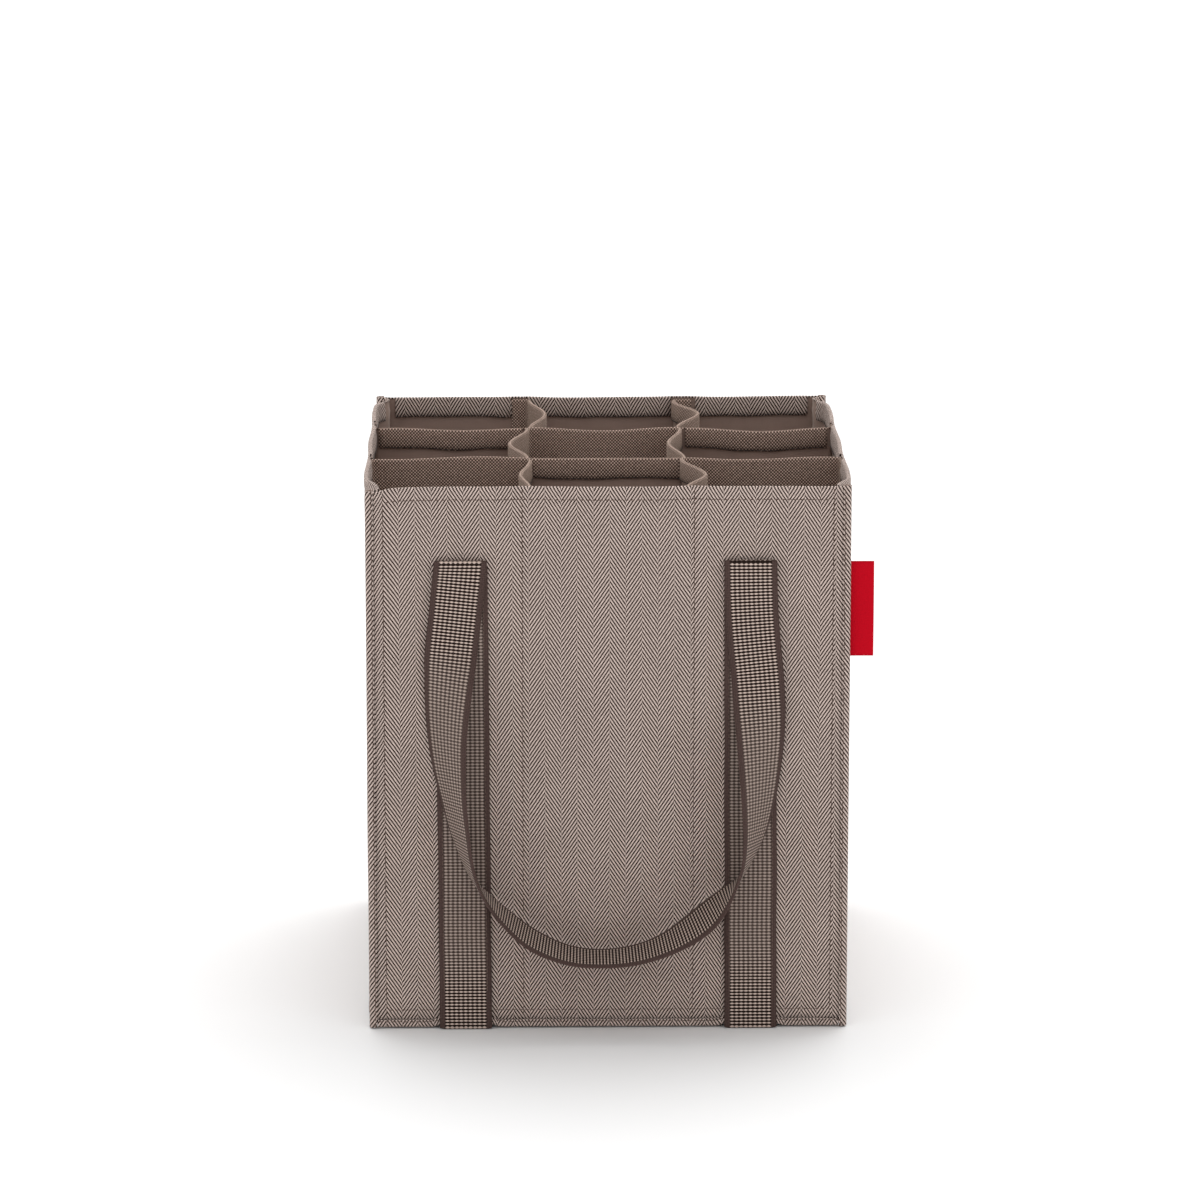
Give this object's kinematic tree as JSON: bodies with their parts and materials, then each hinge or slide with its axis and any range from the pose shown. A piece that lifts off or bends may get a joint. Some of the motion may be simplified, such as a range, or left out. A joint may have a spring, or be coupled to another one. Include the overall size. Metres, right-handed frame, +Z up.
{
  "type": "bottle bag",
  "caption": "Square cloth bag with a divided inside for carrying bottles upright, bound corner seams and two hanging webbing handles.",
  "frame": {"origin": "middle of the base, on the floor", "axes": "+X to the bag's right side, -Y to its front, +Z up"},
  "size_m": [0.2528, 0.2964, 0.278],
  "materials": {
    "herringbone_cloth": "woven herringbone, matt",
    "divider_cloth": "woven, brown reverse side, matt",
    "webbing": "ribbed webbing with dark edges",
    "binding_tape": "woven herringbone, matt",
    "stiff_board": "matt",
    "label_ribbon": "woven ribbon"
  },
  "bodies": {
    "bag": {"front_panel": "herringbone_cloth", "rear_panel": "herringbone_cloth", "left_side_panel": "herringbone_cloth", "right_side_panel": "herringbone_cloth", "base_panel": "herringbone_cloth", "base_board": "stiff_board", "front_left_divider": "divider_cloth", "front_right_divider": "divider_cloth", "rear_left_divider": "divider_cloth", "rear_right_divider": "divider_cloth", "centre_cell_sleeve": "divider_cloth", "front_left_binding": "binding_tape", "front_right_binding": "binding_tape", "front_lower_binding": "binding_tape", "rear_left_binding": "binding_tape", "rear_right_binding": "binding_tape", "rear_lower_binding": "binding_tape", "left_carry_strap": "webbing", "right_carry_strap": "webbing", "side_tag": "label_ribbon"},
    "front_handle": {"front_handle": "webbing"},
    "rear_handle": {"rear_handle": "webbing"}
  },
  "joints": [
    {"name": "front_handle_lift", "type": "hinge", "parent": "bag", "child": "front_handle", "pos_m": [0, -0.12205, 0.2395], "axis": [-1, 0, 0], "range_deg": [0, 180]},
    {"name": "rear_handle_lift", "type": "hinge", "parent": "bag", "child": "rear_handle", "pos_m": [0, 0.12205, 0.2395], "axis": [1, 0, 0], "range_deg": [0, 180]}
  ]
}
